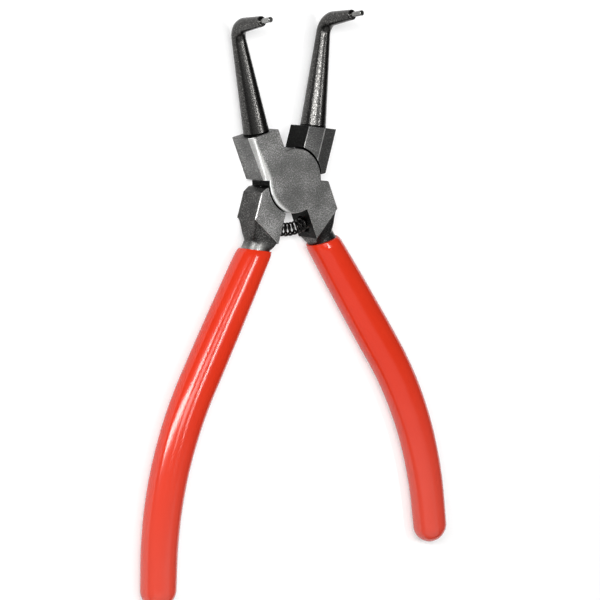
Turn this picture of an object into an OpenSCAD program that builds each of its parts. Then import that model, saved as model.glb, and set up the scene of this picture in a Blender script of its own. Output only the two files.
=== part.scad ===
// Internal circlip pliers with bent tips, lying on their back.
// The pivot axis is Z, the jaws point along +Y and the tips point up along +Z.

/* [Head] */
// Thickness of the head, across both halves of the lap joint
head_t = 9.4; // [8:0.2:12]
// Radius of each half of the lap joint
lap_r = 10.2; // [9.4:0.1:10.8]
// Gap round each lap half, in the other lever's recess
lap_gap = 0.5; // [0.3:0.1:0.8]
// Clearance between the two lap faces
lap_clear = 0.1; // [0.05:0.05:0.2]
// Width of a shoulder or a root, across its lever
shoulder_w = 11.2; // [10:0.1:13]
// Height of the shoulder above the pivot, along its inner face
shoulder_h = 17.8; // [15:0.1:22]
// Length of the root below the pivot, along its inner face
root_h = 20.6; // [19:0.1:24]
// Distance of the root's inner face from the pivot
root_in = 0.7; // [0.4:0.1:1.5]
// Slope of the root's lower edge
root_slope = 24.7; // [15:0.1:30]
// Bevel along the front of the front lever's shoulder
shoulder_bevel = 1.2; // [0.4:0.1:2]
// Bevel along the front of the rear lever's root
root_bevel = 0.7; // [0.3:0.1:1.5]
// Corner cut off the rear lever's root, beside the pivot
root_corner = 1.4; // [0.6:0.1:2]
// The same corner on the front lever's root
corner_break = 0.3; // [0.1:0.1:0.6]
// Distance of the ridge on the rear lever's shoulder from the lever's axis
ridge_at = 6.5; // [5:0.1:8]
// Fall of that shoulder's face from the ridge to its outer edge
ridge_fall = 0.4; // [0.2:0.1:1]
// Bevel on the rim of each lap half
lap_bevel = 0.4; // [0.2:0.1:0.8]

/* [Opening] */
// Half the angle between the two levers at rest
open_angle = 20; // [17:0.5:23]
// Angle left between the facing shoulders at rest
stop_angle = 11; // [8:0.5:14]

/* [Jaws] */
// Distance from the shoulder to the axis of the bent tip
jaw_len = 34.4; // [30:0.1:50]
// Angle at which a jaw leans in from its lever
jaw_lean = 9.5; // [5:0.1:12]
// Distance of the jaw's foot from the shoulder's inner edge
jaw_foot = 5.2; // [4.8:0.1:6]
// Radius of the jaw at the shoulder
jaw_base_r = 4.1; // [3.6:0.1:4.6]
// Radius of the jaw at the bend
jaw_bend_r = 2.25; // [2:0.05:3]
// Radius of the bend along the jaw's centre line
bend_r = 5; // [4:0.1:7]
// Angle through which the end of a jaw is bent up
bend_angle = 82; // [75:1:90]
// Length of the jaw past the bend
stub_len = 9.3; // [7:0.1:14]
// Radius of the bent end
stub_r = 1.65; // [1.4:0.05:2]
// Bevel round the bent end
stub_bevel = 0.4; // [0.2:0.05:0.5]

/* [Tips] */
// Radius of a tip pin
tip_r = 0.85; // [0.5:0.05:1]
// Step from a pin's working part down to its shank, which is pressed into the jaw
tip_step = 0.25; // [0.1:0.05:0.4]
// Free length of a tip pin
tip_len = 4.6; // [3:0.1:6]
// Depth of the hole that a tip pin is pressed into
tip_seat = 4; // [3:0.1:6]
// Bevel on the end of a tip pin
tip_bevel = 0.2; // [0.1:0.05:0.3]

/* [Rivet] */
// Radius of the pivot rivet
rivet_r = 3; // [2.5:0.1:4]
// Radius of the rivet's countersunk ends
rivet_head_r = 4; // [3.4:0.1:5]
// Depth of the countersinks
rivet_head_t = 1; // [0.6:0.1:1.5]
// Running clearance between the rivet and the front lever
rivet_clear = 0.04; // [0.02:0.01:0.08]

/* [Handles] */
// Distance of the end of the neck below the pivot, along the lever
neck_end = 22.8; // [22:0.1:26]
// Distance of the handle's centre line from the pivot, at the end of the neck
handle_in = 5.3; // [4.8:0.1:6.5]
// Angle at which a handle leans out from its lever
handle_lean = 11.7; // [8:0.1:15]
// Length of the straight part of the handle
handle_straight = 47; // [35:0.5:60]
// Radius of the handle's bow
handle_bow_r = 120; // [100:1:150]
// Angle through which the handle bows back in
handle_turn = 27; // [20:0.5:32]
// Length of the tang past the bow
tang_tail = 8; // [4:0.5:12]
// Width of the tang
tang_w = 9.2; // [8:0.1:10]
// Thickness of the tang
tang_t = 7; // [6:0.1:7.6]

/* [Grips] */
// Distance from the end of the neck to the grip's rim
rim_at = 1.8; // [1.5:0.1:4]
// Width of the grip at its upper end
grip_w_top = 11; // [10.8:0.1:13]
// Width of the grip where the bow starts
grip_w_mid = 13; // [12:0.1:15]
// Width of the grip at its lower end
grip_w_end = 11.6; // [11:0.1:13]
// Gap between the underside of a grip and the surface that the head lies on
grip_lift = 0; // [0:0.05:0.4]
// Thickness of the grip past the end of the tang
grip_end = 6.5; // [3:0.5:8]

/* [Spring] */
// Distance of the spring's centre line from the pivot
spring_place = 15.6; // [14:0.1:17]
// Outer radius of the spring
spring_r = 2.2; // [1.8:0.1:2.6]
// Diameter of the spring wire
wire_d = 0.7; // [0.5:0.05:0.7]
// Open turns of the spring
spring_turns = 9.5; // [5.5:1:9.5]
// Radius of the blind holes that hold the ends of the spring
seat_r = 2.8; // [2.5:0.1:3.2]
// Depth of those holes
seat_depth = 2.4; // [1.5:0.1:3]
// Clearance between the spring's ends and the holes' floors
spring_clear = 0.05; // [0.05:0.05:0.2]

/* [Hidden] */

$fn = 64;
steel = [0.42, 0.42, 0.42];
bright_steel = [0.7, 0.7, 0.7];
blackened_steel = [0.1, 0.1, 0.1];
red_vinyl = [0.85, 0.15, 0.1];

mid_z = head_t / 2;
cut = 1;
over = 2 * cut;

// The facing shoulders lie on one line through the pivot.
shoulder_angle = open_angle + stop_angle / 2;
root_out = root_in + shoulder_w;
recess_r = lap_r + lap_gap;
lap_t = (head_t - lap_clear) / 2;
shoulder_rise = shoulder_w * tan(jaw_lean);
root_rise = shoulder_w * tan(root_slope);
jaw_straight = jaw_len - bend_r;

// The bend starts inside the taper, and the bent end starts inside the bend.
bend_sink = 2;
stub_sink = 0.2;
stub_step = 0.03;
tip_shank_r = tip_r - tip_step;
jaw_foot_at = [-jaw_foot, shoulder_h + jaw_foot * tan(jaw_lean), mid_z];

// The handle's centre line is a straight, a bow and a tail, in the lever's plane.
bow_len = handle_bow_r * handle_turn * PI / 180;
tail_lean = handle_lean - handle_turn;
handle_from = [handle_in, -neck_end];
bow_from = handle_from + handle_straight * down_along(handle_lean);
bow_to = bow_from + handle_bow_r * [cos(tail_lean) - cos(handle_lean), sin(tail_lean) - sin(handle_lean)];
tang_len = handle_straight + bow_len + tang_tail;
grip_len = tang_len + grip_end;

function down_along(lean) = [sin(lean), -cos(lean)];

function lean_at(s) =
    s <= handle_straight ? handle_lean
    : s <= handle_straight + bow_len ? handle_lean - (s - handle_straight) / bow_len * handle_turn
    : tail_lean;

function centre_at(s) =
    let (lean = lean_at(s))
    s <= handle_straight ? handle_from + s * down_along(handle_lean)
    : s <= handle_straight + bow_len
        ? bow_from + handle_bow_r * [cos(lean) - cos(handle_lean), sin(lean) - sin(handle_lean)]
    : bow_to + (s - handle_straight - bow_len) * down_along(tail_lean);

// A cross-section is a superellipse: power 2 is an ellipse, and a high power is nearly a rectangle.
section_points = 28;
soft_power = 2.2;
square_power = 30;

function signed_power(v, p) = sign(v) * pow(abs(v), p);

function section(centre, slope, width, height, power) =
    [for (i = [0:section_points - 1])
        let (
            turn = 360 * (i + 0.5) / section_points,
            across = width / 2 * signed_power(cos(turn), 2 / power),
            up = height / 2 * signed_power(sin(turn), 2 / power)
        )
        [centre[0] + across * cos(slope), centre[1] + across * sin(slope), mid_z + up]];

function handle_section(s, width, height) = section(centre_at(s), lean_at(s), width, height, soft_power);

// The grip's rim is square to the lever, so it cuts the handle at a slant.
function rim_section(s, width, height) =
    section(centre_at(s), 0, width / cos(handle_lean), height, soft_power);

// Quads between successive cross-sections, starting at a given point of the list.
function skin(from, rings, inward) =
    [for (ring = [0:rings - 2], i = [0:section_points - 1])
        let (
            here = from + ring * section_points,
            next = here + section_points,
            j = (i + 1) % section_points
        )
        inward ? [here + i, here + j, next + j, next + i] : [here + i, next + i, next + j, here + j]];

function lid(from, far) =
    far ? [for (i = [section_points - 1:-1:0]) from + i] : [for (i = [0:section_points - 1]) from + i];

function joined(lists) = [for (list = lists, item = list) item];

// The neck runs from the root's lower edge to the tang, and starts inside the root.
// It narrows sooner on its outer side than on its inner side.
neck_steps = 12;
outer_power = 4;
inner_power = 1.5;
thin_power = 2.2;
neck_sink = 2;
neck_skin = 0.04;
root_edge_w = shoulder_w / cos(root_slope);
neck_spare = (root_edge_w - 2 * neck_skin - tang_w) / 2;
root_edge_mid = [root_in + shoulder_w / 2, -root_h + root_rise / 2 + neck_skin];

function blend_to(a, b, t) = a + (b - a) * t;

function neck_section(t) =
    let (
        left = 1 - t,
        slope = blend_to(root_slope, handle_lean, t),
        outer = neck_spare * pow(left, outer_power),
        inner = neck_spare * pow(left, inner_power)
    )
    section(
        blend_to(root_edge_mid, handle_from, t) + (outer - inner) / 2 * [cos(slope), sin(slope)],
        slope,
        tang_w + outer + inner,
        blend_to(tang_t, head_t - 2 * neck_skin, pow(left, thin_power)),
        blend_to(soft_power, square_power, pow(left, thin_power))
    );

neck_rings = concat(
    [section(root_edge_mid + [0, neck_sink], root_slope, tang_w, tang_t, soft_power)],
    [for (k = [0:neck_steps - 1]) neck_section(k / neck_steps)]
);

// The tang bends over the bow, and its end is rounded.
bow_steps = 9;
round_steps = 4;
tang_round = tang_t / 2;
tang_stations = concat(
    [for (k = [0:bow_steps]) handle_straight + bow_len * k / bow_steps],
    [tang_len - tang_round]
);
tang_rings = concat(
    [rim_section(rim_at, tang_w, tang_t)],
    [for (s = tang_stations) handle_section(s, tang_w, tang_t)],
    [for (k = [1:round_steps - 1])
        let (turn = 90 * k / round_steps)
        handle_section(tang_len - tang_round * (1 - sin(turn)), tang_w * cos(turn), tang_t * cos(turn))]
);

// The grip swells to its middle and ends in a dome.
grip_steps = 22;
rim_len = 1.6;
rim_wall = 0.7;
grip_t = head_t - 2 * grip_lift;
dome = grip_w_end / 2;
dome_from = grip_len - dome;

function swell(s) =
    s < handle_straight
        ? grip_w_mid - (grip_w_mid - grip_w_top) * pow(1 - s / handle_straight, 2)
        : grip_w_mid
            - (grip_w_mid - grip_w_end) * pow((s - handle_straight) / (grip_len - handle_straight), 2);

grip_rings = concat(
    [rim_section(rim_at, tang_w + 2 * rim_wall, tang_t + 2 * rim_wall)],
    [rim_section(rim_at + rim_len, swell(rim_at + rim_len), grip_t)],
    [for (k = [1:grip_steps])
        let (s = blend_to(rim_at + rim_len, dome_from, k / grip_steps))
        handle_section(s, swell(s), grip_t)],
    [for (k = [1:2 * round_steps - 1])
        let (turn = 90 * k / (2 * round_steps), s = dome_from + dome * sin(turn))
        handle_section(s, swell(s) * cos(turn), grip_t * cos(turn))]
);

// The spring lies on an arc about the pivot, and each end has one closed turn.
coil_r = spring_r - wire_d / 2;
seat_angle = asin((root_in + seat_depth) / spring_place);
spring_end = open_angle + seat_angle - along_arc(spring_clear + wire_d / 2);
end_turn = along_arc(wire_d);
all_turns = spring_turns + 2;
turn_steps = 12;
wire_sides = 6;
spring_steps = all_turns * turn_steps;

function along_arc(length) = length / spring_place * 180 / PI;

function spring_angle(n) =
    n < 1 ? -spring_end + n * end_turn
    : n > all_turns - 1 ? spring_end - (all_turns - n) * end_turn
    : blend_to(end_turn - spring_end, spring_end - end_turn, (n - 1) / spring_turns);

function wire_ring(n) =
    let (about = spring_angle(n), turn = 360 * n)
    [for (i = [0:wire_sides - 1])
        let (
            side = 360 * i / wire_sides,
            radius = coil_r + wire_d / 2 * cos(side),
            along = about + along_arc(wire_d / 2 * sin(side)),
            out = spring_place + radius * cos(turn)
        )
        [out * sin(along), -out * cos(along), mid_z + radius * sin(turn)]];

// A bevel along an edge that runs along Y, at the height of one face of the head.
module edge_bevel(x, side, low, high, width) {
    translate([0, high, 0])
        rotate([90, 0, 0])
            linear_extrude(high - low)
                polygon([
                    [x - 2 * side * width, width],
                    [x + side * width, -2 * width],
                    [x + side * width, width]
                ]);
}

module shoulder(face) {
    difference() {
        linear_extrude(head_t)
            polygon([
                [0, 0],
                [0, shoulder_h],
                [-shoulder_w, shoulder_h + shoulder_rise],
                [-shoulder_w, shoulder_w * tan(shoulder_angle)]
            ]);
        if (face > 0)
            translate([0, 0, head_t])
                edge_bevel(-shoulder_w, -1, -cut, shoulder_h + shoulder_rise + cut, shoulder_bevel);
        else
            ridge_slope();
        lap_recess();
    }
}

// What is cut from the rear lever's shoulder, outward from its ridge.
module ridge_slope() {
    slope_end = shoulder_w + cut;
    translate([0, shoulder_h + shoulder_rise + cut, 0])
        rotate([90, 0, 0])
            linear_extrude(shoulder_h + shoulder_rise + over)
                polygon([
                    [-ridge_at, 0],
                    [-slope_end, ridge_fall * (slope_end - ridge_at) / (shoulder_w - ridge_at)],
                    [-slope_end, -cut],
                    [-ridge_at, -cut]
                ]);
}

module root(face) {
    corner = face > 0 ? corner_break : root_corner;
    difference() {
        linear_extrude(head_t)
            polygon([
                [root_in, -root_in * tan(shoulder_angle)],
                [root_out - corner, -(root_out - corner) * tan(shoulder_angle)],
                [root_out, -root_out * tan(shoulder_angle) - corner],
                [root_out, -root_h + root_rise],
                [root_in, -root_h]
            ]);
        if (face < 0)
            mirror([0, 0, 1])
                edge_bevel(root_out, 1, -root_h - cut, cut, root_bevel);
        lap_recess();
    }
}

// Room for the other lever's lap half, in the back of this one.
module lap_recess() {
    translate([0, 0, -cut])
        cylinder(h = head_t - lap_t + cut, r = recess_r);
}

module lap_half() {
    translate([0, 0, head_t - lap_t])
        cylinder(h = lap_t - lap_bevel, r = lap_r);
    translate([0, 0, head_t - lap_bevel])
        cylinder(h = lap_bevel, r1 = lap_r, r2 = lap_r - lap_bevel);
}

// A straight taper, a bend and a tapered end that points to the front.
module jaw() {
    rotate([-90, 0, 0])
        translate([0, 0, -over])
            cylinder(h = over, r = jaw_base_r);
    rotate([-90, 0, 0])
        cylinder(h = jaw_straight, r1 = jaw_base_r, r2 = jaw_bend_r);
    translate([0, jaw_straight, bend_r])
        rotate([0, 90, 0])
            rotate([0, 0, -bend_sink])
                rotate_extrude(angle = bend_angle + bend_sink)
                    translate([bend_r, 0])
                        circle(r = jaw_bend_r);
    after_bend() {
        translate([0, 0, -stub_sink])
            cylinder(h = stub_len - stub_bevel + stub_sink, r1 = jaw_bend_r - stub_step, r2 = stub_r);
        translate([0, 0, stub_len - stub_bevel])
            cylinder(h = stub_bevel, r1 = stub_r, r2 = stub_r - stub_bevel);
    }
}

// Puts its children at the end of the bend, with Z along the bent end.
module after_bend() {
    translate([0, jaw_straight, bend_r])
        rotate([bend_angle, 0, 0])
            translate([0, 0, -bend_r])
                rotate([-90, 0, 0])
                    children();
}

module at_jaw_foot(face) {
    translate(jaw_foot_at)
        rotate([0, 0, -jaw_lean])
            mirror([0, 0, face > 0 ? 0 : 1])
                children();
}

module tang() {
    rings = concat(neck_rings, [handle_section(0, tang_w, tang_t)], tang_rings);
    polyhedron(
        points = joined(rings),
        faces = concat(
            [lid(0, false)],
            skin(0, len(rings), false),
            [lid((len(rings) - 1) * section_points, true)]
        ),
        convexity = 6
    );
}

module rivet_shape(clear) {
    rotate_extrude()
        polygon([
            [0, 0],
            [rivet_head_r + clear, 0],
            [rivet_r + clear, rivet_head_t],
            [rivet_r + clear, head_t - rivet_head_t],
            [rivet_head_r + clear, head_t],
            [0, head_t]
        ]);
}

// A blind hole square to the spring, with its floor in a plane through the pivot.
module spring_seat() {
    rotate([0, 0, seat_angle])
        translate([0, -spring_place, mid_z])
            rotate([0, -90, 0])
                cylinder(h = seat_depth + over, r = seat_r);
}

// A lever in its own frame: lap half at the front, jaw up and to the left, handle down and to the right.
module lever(face, rivet_gap) {
    difference() {
        union() {
            lap_half();
            shoulder(face);
            root(face);
            tang();
            at_jaw_foot(face)
                jaw();
        }
        rivet_shape(rivet_gap);
        spring_seat();
        at_jaw_foot(face)
            after_bend()
                translate([0, 0, stub_len - tip_seat])
                    cylinder(h = tip_seat + cut, r = tip_shank_r);
    }
}

module tip(face) {
    at_jaw_foot(face)
        after_bend()
            translate([0, 0, stub_len])
                rotate_extrude()
                    polygon([
                        [0, -tip_seat],
                        [tip_shank_r, -tip_seat],
                        [tip_shank_r, 0],
                        [tip_r, 0],
                        [tip_r, tip_len - tip_bevel],
                        [tip_r - tip_bevel, tip_len],
                        [0, tip_len]
                    ]);
}

// A sleeve whose inside is the tang's own surface.
module grip() {
    outer = len(grip_rings);
    inner_from = outer * section_points;
    polyhedron(
        points = joined(concat(grip_rings, tang_rings)),
        faces = concat(
            [for (i = [0:section_points - 1])
                let (j = (i + 1) % section_points)
                [i, j, inner_from + j, inner_from + i]],
            skin(0, outer, false),
            [lid((outer - 1) * section_points, true)],
            skin(inner_from, len(tang_rings), true),
            [lid(inner_from + (len(tang_rings) - 1) * section_points, false)]
        ),
        convexity = 6
    );
}

module front_pose() {
    rotate([0, 0, open_angle])
        children();
}

// The rear lever is the same forging turned over.
module rear_pose() {
    translate([0, 0, head_t])
        rotate([0, 180, 0])
            rotate([0, 0, open_angle])
                children();
}

module front_lever() {
    color(steel)
        front_pose()
            lever(1, rivet_clear);
}

module rear_lever() {
    color(steel)
        rear_pose()
            lever(-1, 0);
}

module pivot_rivet() {
    color(steel)
        rivet_shape(0);
}

module front_tip() {
    color(bright_steel)
        front_pose()
            tip(1);
}

module rear_tip() {
    color(bright_steel)
        rear_pose()
            tip(-1);
}

module front_grip() {
    color(red_vinyl)
        front_pose()
            grip();
}

module rear_grip() {
    color(red_vinyl)
        rear_pose()
            grip();
}

module return_spring() {
    rings = spring_steps + 1;
    color(blackened_steel)
        polyhedron(
            points = [for (k = [0:spring_steps]) each wire_ring(k / turn_steps)],
            faces = concat(
                [[for (i = [0:wire_sides - 1]) i]],
                [for (ring = [0:rings - 2], i = [0:wire_sides - 1])
                    let (
                        here = ring * wire_sides,
                        next = here + wire_sides,
                        j = (i + 1) % wire_sides
                    )
                    [here + i, next + i, next + j, here + j]],
                [[for (i = [wire_sides - 1:-1:0]) (rings - 1) * wire_sides + i]]
            ),
            convexity = 10
        );
}

front_lever();
rear_lever();
pivot_rivet();
front_tip();
rear_tip();
front_grip();
rear_grip();
return_spring();
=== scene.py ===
import bmesh
import bpy
import math
from mathutils import Matrix, Vector, noise


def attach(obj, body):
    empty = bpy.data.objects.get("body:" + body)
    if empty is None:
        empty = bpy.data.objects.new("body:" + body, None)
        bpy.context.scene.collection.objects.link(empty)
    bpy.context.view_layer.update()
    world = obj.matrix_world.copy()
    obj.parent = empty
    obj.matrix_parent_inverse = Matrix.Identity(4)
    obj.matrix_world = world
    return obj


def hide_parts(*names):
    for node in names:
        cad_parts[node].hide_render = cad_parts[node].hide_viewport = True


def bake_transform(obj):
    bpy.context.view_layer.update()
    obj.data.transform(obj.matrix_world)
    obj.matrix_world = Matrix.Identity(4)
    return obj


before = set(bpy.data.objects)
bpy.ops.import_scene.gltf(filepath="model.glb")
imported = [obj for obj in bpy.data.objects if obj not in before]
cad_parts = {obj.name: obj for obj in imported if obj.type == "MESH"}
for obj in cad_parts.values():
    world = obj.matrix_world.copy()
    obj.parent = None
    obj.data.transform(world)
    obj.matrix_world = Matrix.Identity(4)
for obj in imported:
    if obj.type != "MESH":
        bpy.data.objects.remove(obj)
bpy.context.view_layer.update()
print("frame loaded:", sorted(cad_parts))

mm = 0.001  # pieces are drawn in millimetres and stored in metres
cut = 1.0  # how far a cutting tool reaches past the block it cuts, in mm


# small helpers

def srgb(hexText):
    values = [int(hexText[i:i + 2], 16) / 255 for i in (1, 3, 5)]
    return [v / 12.92 if v <= 0.04045 else ((v + 0.055) / 1.055) ** 2.4 for v in values] + [1.0]


def addNode(tree, kind, settings=None, sockets=None):
    node = tree.nodes.new(kind)
    for name, value in (settings or {}).items():
        setattr(node, name, value)
    for name, value in (sockets or {}).items():
        if isinstance(value, bpy.types.NodeSocket):
            tree.links.new(value, node.inputs[name])
        else:
            node.inputs[name].default_value = value
    return node


def startMaterial(name):
    material = bpy.data.materials.new(name)
    material.use_nodes = True
    tree = material.node_tree
    tree.nodes.clear()
    shader = addNode(tree, "ShaderNodeBsdfPrincipled")
    addNode(tree, "ShaderNodeOutputMaterial", None, {"Surface": shader.outputs[0]})
    where = addNode(tree, "ShaderNodeTexCoord").outputs["Object"]
    return material, tree, shader, where


def blend(a, b, t):
    return a + (b - a) * t


def sinDeg(angle):
    return math.sin(math.radians(angle))


def cosDeg(angle):
    return math.cos(math.radians(angle))


def tanDeg(angle):
    return math.tan(math.radians(angle))


def newPiece(name, mesh):
    piece = bpy.data.objects.new(name, mesh)
    bpy.context.scene.collection.objects.link(piece)
    return piece


def solidFrom(name, points, faces):
    mesh = bpy.data.meshes.new(name)
    mesh.from_pydata(points, [], faces)
    bm = bmesh.new()
    bm.from_mesh(mesh)
    bmesh.ops.recalc_face_normals(bm, faces=bm.faces)
    bm.to_mesh(mesh)
    bm.free()
    return newPiece(name, mesh)


def prism(name, outline, low, high):
    count = len(outline)
    points = [(x, y, low) for x, y in outline] + [(x, y, high) for x, y in outline]
    faces = [list(range(count)), list(range(count, 2 * count))]
    faces += [[i, (i + 1) % count, count + (i + 1) % count, count + i] for i in range(count)]
    return solidFrom(name, points, faces)


# a prism whose outline is given in x and z, and which runs along y
def alongY(name, outline, low, high):
    piece = prism(name, outline, low, high)
    piece.data.transform(Matrix(((1, 0, 0, 0), (0, 0, 1, 0), (0, 1, 0, 0), (0, 0, 0, 1))))
    piece.data.flip_normals()
    return piece


def circleOutline(radius, count):
    turns = [math.tau * i / count for i in range(count)]
    return [(radius * math.cos(turn), radius * math.sin(turn)) for turn in turns]


# a closed skin over rings of equal count, with a cap at each end
def loft(name, rings):
    count = len(rings[0])
    faces = []
    for r in range(len(rings) - 1):
        for i in range(count):
            j = (i + 1) % count
            faces.append([r * count + i, r * count + j, (r + 1) * count + j, (r + 1) * count + i])
    faces.append(list(range(count)))
    faces.append(list(range((len(rings) - 1) * count, len(rings) * count)))
    return solidFrom(name, [p for ring in rings for p in ring], faces)


def lathe(name, profile, sides):
    return loft(name, [[(x, y, z) for x, y in circleOutline(r, sides)] for r, z in profile])


def bake(piece):
    seen = piece.evaluated_get(bpy.context.evaluated_depsgraph_get())
    made = bpy.data.meshes.new_from_object(seen)
    piece.modifiers.clear()
    piece.data = made


def combine(base, tool, operation):
    step = base.modifiers.new(operation.lower(), "BOOLEAN")
    step.operation = operation
    step.solver = "EXACT"
    step.object = tool
    bake(base)
    bpy.data.objects.remove(tool)


def shadeByAngle(piece, degrees):
    mesh = piece.data
    mesh.polygons.foreach_set("use_smooth", [True] * len(mesh.polygons))
    mesh.set_sharp_from_angle(angle=math.radians(degrees))


# materials

# Steel: forged, then ground and shot-blasted, or blackened. Some finishes below are darker copies as
# painted shade, and one is pale as a painted highlight on edges. The eye sees a fine pepper of pits and
# raised grains that catch the light, on a slow cloudiness. The grain is drawn about twice as coarse as real
# shot marks, because finer ones would not show. Grain and pits are in millimetres.
steelFinishes = dict(
    # front faces: ground flat, then blasted to a pale pepper
    groundBlastedSteel=dict(dark="#676766", pale="#8a8a88", glint="#cecccc",
                            grain=0.36, rough=0.38, pits=0.014, cloud=0.5),
    # outer side of the shoulders, and the turned-over shoulder's face: darker copies of the ground steel,
    # as painted shade
    groundSidePaintedShadeSteel=dict(dark="#535352", pale="#6a6a69", glint="#949492",
                         grain=0.36, rough=0.38, pits=0.014, cloud=0.5),
    groundBackPaintedShadeSteel=dict(dark="#5a5a59", pale="#727271", glint="#a4a4a2",
                         grain=0.36, rough=0.38, pits=0.014, cloud=0.5),
    # side of the root and the neck: dark and coarser, as it left the die
    asForgedSteel=dict(dark="#363635", pale="#484746", glint="#7a7977",
                       grain=0.4, rough=0.38, pits=0.025, cloud=0.5),
    # inner faces, the slot and a ring at each jaw's foot: painted shade, near-black steel where these lie
    # in shadow
    paintedShadeSteel=dict(dark="#060606", pale="#0f0f0e", glint="#20201f",
                         grain=0.5, rough=0.45, pits=0.02, cloud=0.5),
    # jaws: turned, then blackened, with a smooth sheen and an even speckle
    blackOxideSteel=dict(dark="#353534", pale="#484746", glint="#757471",
                         grain=0.36, rough=0.27, pits=0.017, cloud=0.1),
    # rounded edges: painted highlight, pale steel where the edges catch the light
    paintedHighlightEdgeSteel=dict(dark="#c0c0be", pale="#d6d6d4", glint="#ececea",
                       grain=0.36, rough=0.36, pits=0.004, cloud=0.5),
    # pins: hardened and polished
    hardenedBrightSteel=dict(dark="#6a6a68", pale="#8a8a88", glint="#b4b4b2",
                             grain=0.3, rough=0.24, pits=0.004, cloud=0.5),
    # spring: drawn wire, blackened in oil
    oilBlackenedWire=dict(dark="#121212", pale="#2e2d2c", glint="#55534f",
                          grain=0.25, rough=0.3, pits=0.006, cloud=0.5),
)
# what all the steels share: the clouds' size in mm, where the three colours lie about the pattern's
# middle, and how far the roughness swings between pits and raised grains
steelPattern = dict(
    cloudSize=8.0, cloudDetail=3, grainDetail=2, grainFade=0.55, darkAt=-0.15, paleAt=0.05, glintAt=0.21,
    pitLevel=0.3, grainLevel=0.7, pitRougher=0.08, grainSmoother=0.06,
)

# Patches where the colour is made lighter, in mm. The first two are painted highlights, down the front
# bevel and along the lap's lower-left rim; the other two only lighten the lower right of the head and the
# front of the left neck. A band lies across one direction in the row frame, and a rim lies at a distance
# from the pivot.
# Both are full at one distance and gone at the next, and both start part of the way along.
lighterPatches = dict(
    groundBlastedSteel=[
        # painted highlight down the front bevel, fading onto the front face
        dict(kind="band", turn=25.3, full=-8.6, gone=-7.1, starts=3.0, whole=6.5, gains="#d0d0ce"),
        # painted highlight along the lap's lower-left rim
        dict(kind="rim", turn=125.0, full=10.0, gone=8.5, edge=10.45, starts=7.0, whole=9.2,
             gains="#ececea"),
        # lighter towards the lower right of the head
        dict(kind="band", turn=0.0, full=11.0, gone=5.0, starts=-8.0, whole=-15.0, gains="#404040"),
    ],
    asForgedSteel=[
        # lighter on the front of the left neck
        dict(kind="band", turn=0.0, full=-13.2, gone=-9.5, starts=-16.8, whole=-20.0, gains="#747472"),
    ],
)


def lightenPatch(tree, where, colour, patch):
    turn = math.radians(patch["turn"])
    across = addNode(tree, "ShaderNodeVectorMath", {"operation": "DOT_PRODUCT"},
                     {0: where, 1: (math.cos(turn), math.sin(turn), 0)})
    along = addNode(tree, "ShaderNodeVectorMath", {"operation": "DOT_PRODUCT"},
                    {0: where, 1: (-math.sin(turn), math.cos(turn), 0)})
    if patch["kind"] == "rim":
        flat = addNode(tree, "ShaderNodeVectorMath", {"operation": "MULTIPLY"}, {0: where, 1: (1, 1, 0)})
        across = addNode(tree, "ShaderNodeVectorMath", {"operation": "LENGTH"}, {0: flat.outputs[0]})
    near = addNode(tree, "ShaderNodeMapRange", {"interpolation_type": "SMOOTHSTEP"},
                   {0: across.outputs["Value"], 1: patch["full"] * mm, 2: patch["gone"] * mm,
                    3: 1.0, 4: 0.0})
    past = addNode(tree, "ShaderNodeMapRange", {"interpolation_type": "SMOOTHSTEP"},
                   {0: along.outputs["Value"], 1: patch["starts"] * mm, 2: patch["whole"] * mm,
                    3: 0.0, 4: 1.0})
    share = addNode(tree, "ShaderNodeMath", {"operation": "MULTIPLY"},
                    {0: near.outputs[0], 1: past.outputs[0]})
    if patch["kind"] == "rim":
        inside = addNode(tree, "ShaderNodeMath", {"operation": "LESS_THAN"},
                         {0: across.outputs["Value"], 1: patch["edge"] * mm})
        share = addNode(tree, "ShaderNodeMath", {"operation": "MULTIPLY"},
                        {0: share.outputs[0], 1: inside.outputs[0]})
    mix = addNode(tree, "ShaderNodeMix", {"data_type": "RGBA", "blend_type": "ADD"},
                  {0: share.outputs[0], 6: colour, 7: srgb(patch["gains"])})
    return mix.outputs[2]


def steel(name):
    finish, pattern = steelFinishes[name], steelPattern
    material, tree, shader, where = startMaterial(name)
    grain = addNode(tree, "ShaderNodeTexNoise", None,
                    {"Vector": where, "Scale": 1 / (finish["grain"] * mm),
                     "Detail": pattern["grainDetail"], "Roughness": pattern["grainFade"]})
    cloud = addNode(tree, "ShaderNodeTexNoise", None,
                    {"Vector": where, "Scale": 1 / (pattern["cloudSize"] * mm),
                     "Detail": pattern["cloudDetail"]})
    both = addNode(tree, "ShaderNodeMath", {"operation": "MULTIPLY_ADD"},
                   {0: cloud.outputs[0], 1: finish["cloud"], 2: grain.outputs[0]})
    middle = (1 + finish["cloud"]) / 2
    ramp = addNode(tree, "ShaderNodeValToRGB", None, {0: both.outputs[0]})
    stops = ramp.color_ramp.elements
    stops[0].position, stops[0].color = middle + pattern["darkAt"], srgb(finish["dark"])
    stops[1].position, stops[1].color = middle + pattern["paleAt"], srgb(finish["pale"])
    stops.new(middle + pattern["glintAt"]).color = srgb(finish["glint"])
    colour = ramp.outputs[0]
    for patch in lighterPatches.get(name, []):
        colour = lightenPatch(tree, where, colour, patch)
    tree.links.new(colour, shader.inputs["Base Color"])
    rough = addNode(tree, "ShaderNodeMapRange", None,
                    {0: grain.outputs[0], 1: pattern["pitLevel"], 2: pattern["grainLevel"],
                     3: finish["rough"] + pattern["pitRougher"],
                     4: finish["rough"] - pattern["grainSmoother"]})
    tree.links.new(rough.outputs[0], shader.inputs["Roughness"])
    bump = addNode(tree, "ShaderNodeBump", None,
                   {"Strength": 1.0, "Distance": finish["pits"] * mm, "Height": grain.outputs[0]})
    tree.links.new(bump.outputs[0], shader.inputs["Normal"])
    shader.inputs["Metallic"].default_value = 1.0
    return material


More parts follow.
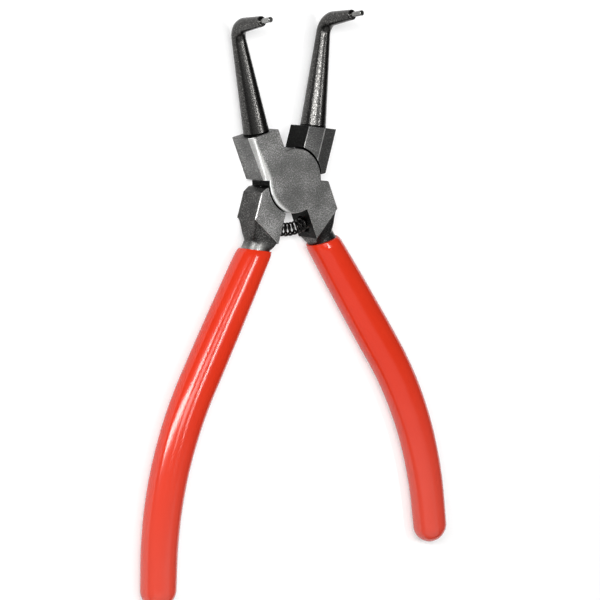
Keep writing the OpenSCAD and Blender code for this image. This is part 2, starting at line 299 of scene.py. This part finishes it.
(groundHead, groundSideShade, groundBackShade, forgedSide, paintedShade,
 oxideJaw, paintedHighlightEdge, brightPin, springWire) = [steel(name) for name in steelFinishes]

# Grips: PVC plastisol, hot dipped over the tang, so it has a glossy skin with a slight orange peel. Towards
# the end
# the colour turns paler and pinker: a painted sheen. Sizes are in millimetres.
vinyl = dict(
    colour="#d6371d", deep="#cf2c14", pale="#d44838", sheenFrom=55.0, sheenTo=122.0,
    cloudSize=14.0, cloudDetail=3, peelSize=1.3, peelDetail=2, peelDeep=0.007,
    rough=0.16, ior=1.5, specular=0.5,
)


def dippedVinyl(name):
    material, tree, shader, where = startMaterial(name)
    cloud = addNode(tree, "ShaderNodeTexNoise", None,
                    {"Vector": where, "Scale": 1 / (vinyl["cloudSize"] * mm),
                     "Detail": vinyl["cloudDetail"]})
    mix = addNode(tree, "ShaderNodeMix", {"data_type": "RGBA"},
                  {0: cloud.outputs[0], 6: srgb(vinyl["colour"]), 7: srgb(vinyl["deep"])})
    # paler towards the grip's end: painted sheen
    down = addNode(tree, "ShaderNodeVectorMath", {"operation": "DOT_PRODUCT"}, {0: where, 1: (0, -1, 0)})
    share = addNode(tree, "ShaderNodeMapRange", {"interpolation_type": "SMOOTHSTEP"},
                    {0: down.outputs["Value"], 1: vinyl["sheenFrom"] * mm, 2: vinyl["sheenTo"] * mm,
                     3: 0.0, 4: 1.0})
    mix = addNode(tree, "ShaderNodeMix", {"data_type": "RGBA"},
                  {0: share.outputs[0], 6: mix.outputs[2], 7: srgb(vinyl["pale"])})
    tree.links.new(mix.outputs[2], shader.inputs["Base Color"])
    peel = addNode(tree, "ShaderNodeTexNoise", None,
                   {"Vector": where, "Scale": 1 / (vinyl["peelSize"] * mm), "Detail": vinyl["peelDetail"]})
    bump = addNode(tree, "ShaderNodeBump", None,
                   {"Strength": 1.0, "Distance": vinyl["peelDeep"] * mm, "Height": peel.outputs[0]})
    tree.links.new(bump.outputs[0], shader.inputs["Normal"])
    shader.inputs["Roughness"].default_value = vinyl["rough"]
    shader.inputs["IOR"].default_value = vinyl["ior"]
    shader.inputs["Specular IOR Level"].default_value = vinyl["specular"]
    return material


vinylRed = dippedVinyl("dippedGlossPvc")
print("materials made")


# levers: the two are one forging, and the rear one is turned over

lever = dict(
    headThick=9.4, lapRadius=10.2, lapGap=0.5, lapClear=0.1, discSides=128,
    shoulderWide=11.2, shoulderHigh=17.8, shoulderBevel=1.2, bevelTaper=0.045, ridgeAt=6.5, ridgeFall=0.4,
    rootHigh=20.6, rootIn=0.7, rootSlope=24.7, rootBevel=0.24, rootCorner=1.4, cornerBreak=0.3,
    openAngle=20.0, stopAngle=11.0, edgeRound=0.18, rimRound=0.3, softRound=0.5, smoothTo=33,
)
midZ = lever["headThick"] / 2
opened = Matrix.Rotation(math.radians(lever["openAngle"]), 4, "Z")
turnedOver = Matrix.Translation((0, 0, lever["headThick"])) @ Matrix.Rotation(math.pi, 4, "Y")
leverPose = {"front": opened, "rear": turnedOver @ opened}


def placed(piece, side):
    piece.data.transform(Matrix.Scale(mm, 4) @ leverPose[side])


# handle line: a straight, a bow and a tail
handle = dict(
    neckEnd=22.8, inFrom=5.3, lean=11.7, straight=47.0, bowRadius=120.0, turn=27.0, tail=8.0,
    tangWide=9.2, tangThick=7.0, tangSteps=40, tangEndSteps=6, sides=64,
    softPower=2.2, squarePower=30.0, outerPower=4.0, innerPower=1.5, thinPower=2.2,
    neckSteps=36, neckSkin=0.28, neckSink=2.0, neckLift=0.04,
)
bowLength = handle["bowRadius"] * math.radians(handle["turn"])
tailLean = handle["lean"] - handle["turn"]
tangLength = handle["straight"] + bowLength + handle["tail"]


def leanAt(s):
    if s <= handle["straight"]:
        return handle["lean"]
    if s <= handle["straight"] + bowLength:
        return handle["lean"] - (s - handle["straight"]) / bowLength * handle["turn"]
    return tailLean


def downAlong(lean):
    return Vector((sinDeg(lean), -cosDeg(lean)))


def centreAt(s):
    start = Vector((handle["inFrom"], -handle["neckEnd"]))
    if s <= handle["straight"]:
        return start + s * downAlong(handle["lean"])
    lean, first = leanAt(s), handle["lean"]
    bow = start + handle["straight"] * downAlong(first)
    bow += handle["bowRadius"] * Vector((cosDeg(lean) - cosDeg(first), sinDeg(lean) - sinDeg(first)))
    past = max(0.0, s - handle["straight"] - bowLength)
    return bow + past * downAlong(tailLean)


# a cross-section is a superellipse: power 2 is an ellipse, and a high power is nearly a rectangle
def sectionRing(centre, slope, width, height, power):
    ring = []
    for i in range(handle["sides"]):
        turn = math.tau * (i + 0.5) / handle["sides"]
        c, s = math.cos(turn), math.sin(turn)
        across = width / 2 * math.copysign(abs(c) ** (2 / power), c)
        up = height / 2 * math.copysign(abs(s) ** (2 / power), s)
        ring.append((centre[0] + across * cosDeg(slope), centre[1] + across * sinDeg(slope), midZ + up))
    return ring


def handleRing(s, width, height, slope=None):
    lean = leanAt(s)
    slope = lean if slope is None else slope
    return sectionRing(centreAt(s), slope, width / cosDeg(lean - slope), height, handle["softPower"])


# the tang itself, or with some extra width the hole of the grip, which starts at the grip's slanted rim
def tangRings(extra=0.0):
    wide, thick = handle["tangWide"] + extra, handle["tangThick"] + extra
    roundFrom = tangLength - thick / 2
    rings = [handleRing(grip["rimAt"], wide, thick, grip["rimSlope"] if extra else 0.0)]
    steps, endSteps = handle["tangSteps"], handle["tangEndSteps"]
    for k in range(steps + 1):
        rings.append(handleRing(blend(grip["slantTo"], roundFrom, k / steps), wide, thick))
    for k in range(1, endSteps):
        turn = 90 * k / endSteps
        s = roundFrom + thick / 2 * sinDeg(turn)
        rings.append(handleRing(s, wide * cosDeg(turn), thick * cosDeg(turn)))
    return rings


# the neck goes from the flat root to the oval handle, faster on its outer side
def neckAndTang(name):
    rise = lever["shoulderWide"] * tanDeg(lever["rootSlope"])
    edgeWide = lever["shoulderWide"] / cosDeg(lever["rootSlope"])
    skin = handle["neckSkin"]
    edgeMid = Vector((lever["rootIn"] + lever["shoulderWide"] / 2,
                      -lever["rootHigh"] + rise / 2 + handle["neckLift"]))
    spare = (edgeWide - 2 * skin - handle["tangWide"]) / 2
    handleFrom = Vector((handle["inFrom"], -handle["neckEnd"]))
    rings = [sectionRing(edgeMid + Vector((0, handle["neckSink"])), lever["rootSlope"],
                         handle["tangWide"], handle["tangThick"], handle["softPower"])]
    for k in range(handle["neckSteps"]):
        t = k / handle["neckSteps"]
        thin = (1 - t) ** handle["thinPower"]
        outer, inner = spare * (1 - t) ** handle["outerPower"], spare * (1 - t) ** handle["innerPower"]
        slope = blend(lever["rootSlope"], handle["lean"], t)
        shift = (outer - inner) / 2 * Vector((cosDeg(slope), sinDeg(slope)))
        rings.append(sectionRing(
            edgeMid.lerp(handleFrom, t) + shift, slope, handle["tangWide"] + outer + inner,
            blend(handle["tangThick"], lever["headThick"] - 2 * skin, thin),
            blend(handle["softPower"], handle["squarePower"], thin)))
    rings.append(handleRing(0, handle["tangWide"], handle["tangThick"]))
    return loft(name, rings + tangRings())


# jaw: straight taper, bend and tapered end, swept with round rings
jaw = dict(
    length=34.4, lean=9.5, foot=5.2, baseRadius=4.1, bendRadius=2.25, bendCentre=5.0, bendAngle=82.0,
    stubLength=9.3, stubRadius=1.65, stubBevel=0.4, boreRadius=0.6, boreDepth=4.0,
    sides=72, coneSteps=60, bendSteps=18, stubSteps=10, sunk=2.0, footShade=0.45, inside=0.004,
)


# distance past the bend and radius, out to the end and down into the hole for the pin
def stubProfile():
    length, bevel, end, steps = jaw["stubLength"], jaw["stubBevel"], jaw["stubRadius"], jaw["stubSteps"]
    profile = [(blend(0, length - bevel, k / steps), blend(jaw["bendRadius"], end, k / steps))
               for k in range(1, steps + 1)]
    profile += [(length - bevel * (1 - sinDeg(a)), end - bevel * (1 - cosDeg(a))) for a in (30, 60, 90)]
    return profile + [(length, jaw["boreRadius"]), (length - jaw["boreDepth"], jaw["boreRadius"])]


def jawSweep(name, face):
    straight, bend = jaw["length"] - jaw["bendCentre"], jaw["bendCentre"]
    stations = [(Vector((0, blend(-jaw["sunk"], 0, k / 2), 0)), 0.0, jaw["baseRadius"]) for k in range(2)]
    for k in range(jaw["coneSteps"] + 1):
        t = k / jaw["coneSteps"]
        stations.append((Vector((0, straight * t, 0)), 0.0, blend(jaw["baseRadius"], jaw["bendRadius"], t)))
    for k in range(1, jaw["bendSteps"] + 1):
        tilt = jaw["bendAngle"] * k / jaw["bendSteps"]
        centre = Vector((0, straight + bend * sinDeg(tilt), bend * (1 - cosDeg(tilt))))
        stations.append((centre, tilt, jaw["bendRadius"]))
    end, along = stations[-1][0], Vector((0, cosDeg(jaw["bendAngle"]), sinDeg(jaw["bendAngle"])))
    for s, r in stubProfile():
        stations.append((end + s * along, jaw["bendAngle"], r))
    rings = []
    for centre, tilt, radius in stations:
        ring = []
        for across, up in circleOutline(radius - jaw["inside"], jaw["sides"]):
            ring.append(centre + Vector((across, -up * sinDeg(tilt), up * cosDeg(tilt))))
        rings.append(ring)
    piece = loft(name, rings)
    foot = Vector((-jaw["foot"], lever["shoulderHigh"] + jaw["foot"] * tanDeg(jaw["lean"]), midZ))
    turnOver = Matrix.Identity(4) if face > 0 else Matrix.Scale(-1, 4, (0, 0, 1))
    leaning = Matrix.Rotation(math.radians(-jaw["lean"]), 4, "Z")
    piece.data.transform(Matrix.Translation(foot) @ leaning @ turnOver)
    if face < 0:
        piece.data.flip_normals()
    return piece


# rivet hole, countersunk on both faces; the rivet runs in the front lever and is pressed in the rear one
rivet = dict(radius=3.0, headRadius=4.0, headDeep=1.0, clear=0.04, sides=96)


def rivetHole(face):
    gap = rivet["clear"] if face > 0 else 0.0
    r, head = rivet["radius"] + gap, rivet["headRadius"] + gap
    deep, thick = rivet["headDeep"], lever["headThick"]
    wide = head + cut * (head - r) / deep
    profile = [(wide, -cut), (r, deep), (r, thick - deep), (wide, thick + cut)]
    return lathe("rivetHole", profile, rivet["sides"])


# head block: shoulder, root and half of the lap joint; the front lever has face 1 and the rear one -1
def headBlock(name, face):
    thick, wide = lever["headThick"], lever["shoulderWide"]
    stop = lever["openAngle"] + lever["stopAngle"] / 2
    high, rise = lever["shoulderHigh"], wide * tanDeg(jaw["lean"])
    rootOut, rootRise = lever["rootIn"] + wide, wide * tanDeg(lever["rootSlope"])
    corner = lever["cornerBreak"] if face > 0 else lever["rootCorner"]
    lapThick = (thick - lever["lapClear"]) / 2
    shoulder = prism("shoulder", [
        (0, 0), (0, high), (-wide, high + rise), (-wide, wide * tanDeg(stop))], 0, thick)
    root = prism("root", [
        (lever["rootIn"], -lever["rootIn"] * tanDeg(stop)),
        (rootOut - corner, -(rootOut - corner) * tanDeg(stop)),
        (rootOut, -rootOut * tanDeg(stop) - corner),
        (rootOut, -lever["rootHigh"] + rootRise),
        (lever["rootIn"], -lever["rootHigh"])], 0, thick)
    if face > 0:  # a bevel along the shoulder, wider towards the jaw
        b = lever["shoulderBevel"]
        slope = [(-wide + 2 * b, thick + b), (-wide - b, thick - 2 * b), (-wide - b, thick + b)]
        tool = alongY("bevelCut", slope, -cut, high + rise + cut)
        shear = Matrix.Identity(4)
        shear[0][1], shear[0][3] = lever["bevelTaper"], -lever["bevelTaper"] * (high + rise)
        tool.data.transform(shear)
        combine(shoulder, tool, "DIFFERENCE")
    else:  # a ridge down the shoulder and a bevel along the root
        end, at = wide + cut, lever["ridgeAt"]
        fall = lever["ridgeFall"] * (end - at) / (wide - at)
        slope = [(-at, 0), (-end, fall), (-end, -cut), (-at, -cut)]
        combine(shoulder, alongY("ridgeCut", slope, -cut, high + rise + cut), "DIFFERENCE")
        b = lever["rootBevel"]
        slope = [(rootOut - 2 * b, -b), (rootOut + b, 2 * b), (rootOut + b, -b)]
        combine(root, alongY("bevelCut", slope, -lever["rootHigh"] - cut, cut), "DIFFERENCE")
    recessOutline = circleOutline(lever["lapRadius"] + lever["lapGap"], lever["discSides"])
    for block in (shoulder, root):
        combine(block, prism("recess", recessOutline, -cut, thick - lapThick), "DIFFERENCE")
    disc = prism(name, circleOutline(lever["lapRadius"], lever["discSides"]), thick - lapThick, thick)
    combine(disc, shoulder, "UNION")
    combine(disc, root, "UNION")
    combine(disc, rivetHole(face), "DIFFERENCE")
    roundEdges(disc, face)
    return disc


leverFinishes = [groundHead, groundSideShade, groundBackShade, oxideJaw, forgedSide, paintedShade, paintedHighlightEdge]

# which edges are rounded, and in how many steps: distances in mm, angles in degrees
edges = dict(
    weld=0.08, flatWithin=0.2, sharpFrom=20, ridgeWithin=0.05, holeMargin=0.1,
    topWithin=0.01, rimWithin=0.02, longFrom=5, bevelLean=0.5, segments=4,
)


# every sharp edge is broken a little, and the lap's outer rim and the inner edge of the front bevel more
def roundEdges(piece, face):
    bm = bmesh.new()
    bm.from_mesh(piece.data)
    bmesh.ops.remove_doubles(bm, verts=bm.verts, dist=edges["weld"])
    flat = math.radians(edges["flatWithin"])
    bmesh.ops.dissolve_limit(bm, angle_limit=flat, verts=bm.verts, edges=bm.edges)
    weight = bm.edges.layers.float.new("bevel_weight_edge")
    top, rim, ridge = lever["headThick"], lever["lapRadius"], lever["ridgeAt"]
    for edge in bm.edges:
        a, b = edge.verts[0].co, edge.verts[1].co
        onRidge = face < 0 and max(abs(v.x + ridge) + abs(v.z) for v in (a, b)) < edges["ridgeWithin"]
        inHole = max(a.xy.length, b.xy.length) < rivet["headRadius"] + edges["holeMargin"]
        if len(edge.link_faces) != 2 or inHole:
            continue
        if edge.calc_face_angle() < math.radians(edges["sharpFrom"]) and not onRidge:
            continue
        edge[weight] = lever["edgeRound"]
        onTop = max(abs(v.z - top) for v in (a, b)) < edges["topWithin"]
        if onTop and max(abs(v.xy.length - rim) for v in (a, b)) < edges["rimWithin"]:
            edge[weight] = lever["rimRound"]
        lean = edges["bevelLean"]
        besideBevel = any(f.normal.z > lean and f.normal.x < -lean for f in edge.link_faces)
        if face > 0 and onTop and besideBevel and abs(a.y - b.y) > edges["longFrom"]:
            edge[weight] = lever["softRound"]
    bm.to_mesh(piece.data)
    bm.free()
    for finish in leverFinishes:
        piece.data.materials.append(finish)
    bevel = piece.modifiers.new("edges", "BEVEL")
    # every new bevel face starts with the painted edge highlight; paintLever keeps it only on some
    bevel.material = leverFinishes.index(paintedHighlightEdge)
    bevel.limit_method = "WEIGHT"
    bevel.offset_type = "OFFSET"
    bevel.width = 1.0
    bevel.segments = edges["segments"]
    bevel.use_clamp_overlap = False
    bake(piece)


# where the jaw's foot lies in the shoulder's top, the union leaves slivers a few thousandths of a mm wide
weld = dict(points=0.004, slivers=0.002)


def weldSeams(piece):
    bm = bmesh.new()
    bm.from_mesh(piece.data)
    bmesh.ops.remove_doubles(bm, verts=bm.verts, dist=weld["points"])
    bmesh.ops.dissolve_degenerate(bm, edges=bm.edges, dist=weld["slivers"])
    bm.to_mesh(piece.data)
    bm.free()


# The faces are told apart by where they lie, in mm, and by their normal. The front, the back and the outer
# shoulder are ground, the back and the outer shoulder in darker copies as painted shade. Inner faces, the
# shoulder's stop face and the lap's hidden side are near black as painted shade, and so is a ring at the
# foot of each jaw. The shoulder's top, the root's stop face and outer side, and the neck are as forged. Of
# the rounded edges, some keep a pale painted highlight.
paint = dict(
    seam=0.02, uprightBelow=0.3, rimWithin=0.05, lapInner=2, highlightRimBelow=-0.8, acrossMost=1.3,
    bevelOut=0.1, bevelUp=0.3, rootBevelLean=0.6, rootEdgeLean=0.3, rimLean=(0.15, 0.985),
    edgeLean=(0.3, 0.92), ridgeWithin=0.3, rootSideFrom=9, shoulderSide=0.5, facesUpFrom=0.9,
)


def paintLever(piece, face):
    radius, slope = lever["lapRadius"], paint["rootEdgeLean"]
    for polygon in piece.data.polygons:
        c, n = polygon.center, polygon.normal
        bevelled = polygon.material_index == leverFinishes.index(paintedHighlightEdge)
        aboveTop = c.y - (lever["shoulderHigh"] - c.x * tanDeg(jaw["lean"]))
        belowRoot = -lever["rootHigh"] + (c.x - lever["rootIn"]) * tanDeg(lever["rootSlope"]) - c.y
        upright = abs(n.z) < paint["uprightBelow"]
        onRim = c.xy.length < radius + paint["rimWithin"]
        highlightRim = onRim and c.x + c.y < paint["highlightRimBelow"] * radius
        highlightSide = not onRim and abs(n.x) > paint["acrossMost"] * abs(n.y)
        rimLow, rimHigh = paint["rimLean"]
        edgeLow, edgeHigh = paint["edgeLean"]
        if aboveTop > paint["seam"]:
            # the jaw's first footShade mm above the shoulder: painted shade, a dark ring where the jaw
            # meets the shoulder
            finish = paintedShade if aboveTop < jaw["footShade"] else oxideJaw
        elif belowRoot > paint["seam"]:
            finish = forgedSide
        # the lap's hidden side in the slot: painted shade
        elif onRim and c.z < midZ + paint["lapInner"]:
            finish = paintedShade
        elif c.y > 0 and n.x < -paint["bevelOut"] and n.z > paint["bevelUp"]:
            finish = groundHead
        # rounded edges that get the painted edge highlight: the root's bevel and lower edge, the lap's
        # lower-left rim, the front shoulder's edges and the ridge line
        elif n.x > paint["rootBevelLean"] and n.z < -paint["rootBevelLean"]:
            finish = paintedHighlightEdge
        elif bevelled and c.y < -radius and n.y < -slope and n.z < -slope:
            finish = paintedHighlightEdge
        elif bevelled and highlightRim and rimLow < abs(n.z) < rimHigh:
            finish = paintedHighlightEdge
        elif bevelled and (highlightRim or highlightSide) and c.y > 0 and face > 0 and edgeLow < abs(n.z) < edgeHigh:
            finish = paintedHighlightEdge
        elif bevelled and c.y > 0 and abs(c.x + lever["ridgeAt"]) < paint["ridgeWithin"]:
            finish = paintedHighlightEdge
        elif upright and c.y < 0 and c.x > lever["rootIn"] + paint["rootSideFrom"]:
            finish = forgedSide
        # outer side of the shoulder: the darker ground steel, as painted shade
        elif upright and c.x < -lever["shoulderWide"] + paint["shoulderSide"]:
            finish = groundSideShade
        # other upright faces: painted shade, unless they face up the lever
        elif upright:
            finish = paintedShade if n.y < paint["facesUpFrom"] else forgedSide
        # the shoulder's back face: the darker ground steel, as painted shade
        elif c.y > 0 and n.z < 0:
            finish = groundBackShade
        else:
            finish = groundHead
        polygon.material_index = leverFinishes.index(finish)


def makeLever(side):
    face = 1 if side == "front" else -1
    piece = headBlock(side + "LeverForged", face)
    radius, deep = spring["seatRadius"], spring["seatDepth"] + 2 * cut
    seat = lathe("springSeat", [(radius, 0), (radius, deep)], spring["seatSides"])
    seat.data.transform(Matrix.Rotation(math.radians(seatTurn()), 4, "Z")
                        @ Matrix.Translation((0, -spring["place"], midZ))
                        @ Matrix.Rotation(-math.pi / 2, 4, "Y"))
    combine(piece, seat, "DIFFERENCE")
    combine(piece, neckAndTang("neck"), "UNION")
    combine(piece, jawSweep("jaw", face), "UNION")
    weldSeams(piece)
    paintLever(piece, face)
    placed(piece, side)
    shadeByAngle(piece, lever["smoothTo"])
    normals = piece.modifiers.new("flatFaces", "WEIGHTED_NORMAL")
    normals.keep_sharp = True
    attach(piece, side)
    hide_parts(side + "_lever")
    print(side, "lever:", len(piece.data.polygons), "faces")


# grips: a dipped sleeve that swells to its middle and ends in a dome
grip = dict(
    rimAt=1.1, rimSlope=-8.0, rimLength=1.6, rimWall=0.7, lipRound=0.22, lipSteps=4, slantTo=8.0,
    wideTop=11.0, wideMiddle=13.0, wideEnd=11.6, beyond=6.5, bodySteps=110, domeSteps=16,
    holeExtra=0.02, ripple=0.05, rippleSize=7.0, inside=0.015, smoothTo=50,
)


def swell(s):
    whole, middle = tangLength + grip["beyond"], grip["wideMiddle"]
    if s < handle["straight"]:
        return middle - (middle - grip["wideTop"]) * (1 - s / handle["straight"]) ** 2
    t = (s - handle["straight"]) / (whole - handle["straight"])
    return middle - (middle - grip["wideEnd"]) * t ** 2


def gripSize(s):
    full = grip["rimAt"] + grip["rimLength"]
    if s >= full:
        return swell(s), lever["headThick"]
    t = (s - grip["rimAt"]) / grip["rimLength"]
    return (blend(handle["tangWide"] + 2 * grip["rimWall"], swell(full), t),
            blend(handle["tangThick"] + 2 * grip["rimWall"], lever["headThick"], t))


def makeGrip(side):
    dome = grip["wideEnd"] / 2
    domeFrom = tangLength + grip["beyond"] - dome
    lip, rimAt = grip["lipRound"], grip["rimAt"]
    outer = []
    for k in range(grip["lipSteps"] + 1):  # the lip rolls in to the tang
        a = 90 * k / grip["lipSteps"]
        wide, thick = gripSize(rimAt)
        s, shrink = rimAt + lip * (1 - cosDeg(a)), 2 * lip * (1 - sinDeg(a))
        outer.append(handleRing(s, wide - shrink, thick - shrink, grip["rimSlope"]))
    for k in range(1, grip["bodySteps"] + 1):
        s = blend(rimAt + lip, domeFrom, k / grip["bodySteps"])
        wide, thick = gripSize(s)
        slanted = min(1.0, max(0.0, (s - rimAt - lip) / (grip["slantTo"] - rimAt - lip)))
        outer.append(handleRing(s, wide, thick, blend(grip["rimSlope"], leanAt(s), slanted)))
    for k in range(1, grip["domeSteps"]):
        turn = 90 * k / grip["domeSteps"]
        s = domeFrom + dome * sinDeg(turn)
        outer.append(handleRing(s, swell(s) * cosDeg(turn), lever["headThick"] * cosDeg(turn)))
    hole = list(reversed(tangRings(grip["holeExtra"])))
    piece = loft(side + "GripDipped", hole + outer)
    skin = list(piece.data.vertices)[len(hole) * handle["sides"]:]
    for vertex in skin:  # slow ripple of the dip, always inward
        wave = noise.noise(vertex.co / grip["rippleSize"]) * 0.5 + 0.5
        vertex.co -= vertex.normal * (wave * grip["ripple"] + grip["inside"])
    piece.data.materials.append(vinylRed)
    placed(piece, side)
    shadeByAngle(piece, grip["smoothTo"])
    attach(piece, side)
    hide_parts(side + "_grip")
    print(side, "grip:", len(piece.data.polygons), "faces")


# return spring: wire coil on an arc about the pivot, with closed end turns, in a blind seat in each root
spring = dict(
    place=15.6, radius=2.2, wire=0.7, turns=9.5, clear=0.05, turnSteps=28, wireSides=12,
    seatRadius=2.8, seatDepth=2.4, seatSides=48, smoothTo=50,
)


# the angle about the pivot from a lever's axis to the floor of its seat
def seatTurn():
    return math.degrees(math.asin((lever["rootIn"] + spring["seatDepth"]) / spring["place"]))


def makeSpring():
    place, wire = spring["place"], spring["wire"]
    alongArc = lambda length: math.degrees(length / place)
    coil = spring["radius"] - wire / 2
    end = lever["openAngle"] + seatTurn() - alongArc(spring["clear"] + wire / 2)
    endTurn, allTurns = alongArc(wire), spring["turns"] + 2
    steps = int(allTurns * spring["turnSteps"])
    rings = []
    for k in range(steps + 1):
        n = k / spring["turnSteps"]
        if n < 1:
            about = -end + n * endTurn
        elif n > allTurns - 1:
            about = end - (allTurns - n) * endTurn
        else:
            about = blend(endTurn - end, end - endTurn, (n - 1) / spring["turns"])
        ring = []
        for i in range(spring["wireSides"]):
            side = 360 * i / spring["wireSides"]
            radius = coil + wire / 2 * cosDeg(side)
            along = about + alongArc(wire / 2 * sinDeg(side))
            out = place + radius * cosDeg(360 * n)
            ring.append((out * sinDeg(along), -out * cosDeg(along), midZ + radius * sinDeg(360 * n)))
        rings.append(ring)
    piece = loft("returnSpringCoil", rings)
    piece.data.transform(Matrix.Scale(mm, 4))
    piece.data.materials.append(springWire)
    shadeByAngle(piece, spring["smoothTo"])
    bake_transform(piece)
    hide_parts("return_spring")
    print("spring:", len(piece.data.polygons), "faces")


# building

for side in ("front", "rear"):
    makeLever(side)
for side in ("front", "rear"):
    makeGrip(side)
makeSpring()

# pins and rivet keep their solids, with finer shading
for name, material in (("front_tip", brightPin), ("rear_tip", brightPin), ("pivot_rivet", groundHead)):
    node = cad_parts[name]
    node.data.materials.clear()
    node.data.materials.append(material)
    shadeByAngle(node, lever["smoothTo"])
print("pins and rivet finished")


# stage: a sweep of matt white paper, which the camera and shiny surfaces see as white
stage = dict(
    floorSize=8.0, floorAt=-0.05 * mm, floorColour="#dcdcdc", floorRough=0.9, floorSpecular=0.1,
    floorGlow=0.34, skyColour="#ffffff", skyStrength=0.05,
)
corners = [(x * stage["floorSize"], y * stage["floorSize"], stage["floorAt"])
           for x, y in ((-1, -1), (1, -1), (1, 1), (-1, 1))]
floor = solidFrom("studioFloor", corners, [[0, 1, 2, 3]])
paper, tree, shader, _ = startMaterial("whitePaperSweep")
shader.inputs["Base Color"].default_value = srgb(stage["floorColour"])
shader.inputs["Roughness"].default_value = stage["floorRough"]
shader.inputs["Specular IOR Level"].default_value = stage["floorSpecular"]
rays = addNode(tree, "ShaderNodeLightPath")
seen = addNode(tree, "ShaderNodeMath", {"operation": "MAXIMUM"},
               {0: rays.outputs["Is Camera Ray"], 1: rays.outputs["Is Glossy Ray"]})
seen = addNode(tree, "ShaderNodeMath", {"operation": "MAXIMUM"},
               {0: seen.outputs[0], 1: rays.outputs["Is Transmission Ray"]})
glow = addNode(tree, "ShaderNodeMath", {"operation": "MULTIPLY"},
               {0: seen.outputs[0], 1: stage["floorGlow"]})
shader.inputs["Emission Color"].default_value = (1, 1, 1, 1)
tree.links.new(glow.outputs[0], shader.inputs["Emission Strength"])
floor.data.materials.append(paper)

world = bpy.data.worlds.new("softStudio")
bpy.context.scene.world = world
world.use_nodes = True
sky = world.node_tree.nodes["Background"]
sky.inputs["Color"].default_value = srgb(stage["skyColour"])
sky.inputs["Strength"].default_value = stage["skyStrength"]

# each lamp: what it lights, the way it lies from there, the way its long side runs, how far off it is,
# its sides in metres and its radiance
lamps = dict(
    keyStrip=dict(lights=(-0.044, -0.060, 0.008), toward=(-0.60, 0.345, 0.72), along=(0.85, -0.06, 0.52),
                  far=0.7, sides=(0.64, 0.13), radiance=21.0),
    ceilingStrip=dict(lights=(-0.044, -0.060, 0.008), toward=(-0.02, 0.12, 0.99), along=(1, 0, 0),
                      far=0.7, sides=(0.22, 0.12), radiance=7.0),
    jawStrip=dict(lights=(-0.010, 0.035, 0.007), toward=(0.30, -0.03, 0.95), along=(0, 1, 0),
                  far=0.7, sides=(0.30, 0.05), radiance=20.0),
    topBox=dict(lights=(-0.017, -0.025, 0.009), toward=(0.37, 0.03, 0.93), along=(0, 1, 0),
                far=0.7, sides=(0.14, 0.10), radiance=7.5),
    lowFill=dict(lights=(0, -0.06, 0.009), toward=(0, -0.69, 0.72), along=(1, 0, 0),
                 far=0.9, sides=(1.5, 0.85), radiance=0.56),
)
for name, lamp in lamps.items():
    light = bpy.data.lights.new(name, "AREA")
    light.shape = "RECTANGLE"
    light.size, light.size_y = lamp["sides"]
    light.energy = lamp["radiance"] * math.pi * light.size * light.size_y
    holder = bpy.data.objects.new(name, light)
    bpy.context.scene.collection.objects.link(holder)
    away = Vector(lamp["toward"]).normalized()
    across = away.cross(Vector(lamp["along"])).normalized()
    turned = Matrix((across.cross(away), across, away)).transposed().to_4x4()
    holder.matrix_world = Matrix.Translation(Vector(lamp["lights"]) + away * lamp["far"]) @ turned
print("stage lit")

# camera as the photograph was taken: above the floor and to the left, turned so the jaws point up
view = dict(
    place=(-0.4808, 0.0882, 0.6203), lens=150.22, sensor=36.0, nearest=0.01, farthest=50,
    right=(0.7819, -0.0341, 0.6224), up=(0.1259, 0.9866, -0.1042), back=(-0.6105, 0.1598, 0.7757),
)
eye = bpy.data.cameras.new("photoCamera")
eye.lens, eye.sensor_width = view["lens"], view["sensor"]
eye.clip_start, eye.clip_end = view["nearest"], view["farthest"]
camera = bpy.data.objects.new("photoCamera", eye)
bpy.context.scene.collection.objects.link(camera)
turned = Matrix((view["right"], view["up"], view["back"])).transposed().to_4x4()
camera.matrix_world = Matrix.Translation(view["place"]) @ turned
bpy.context.scene.camera = camera
bpy.context.scene.view_settings.view_transform = "Standard"
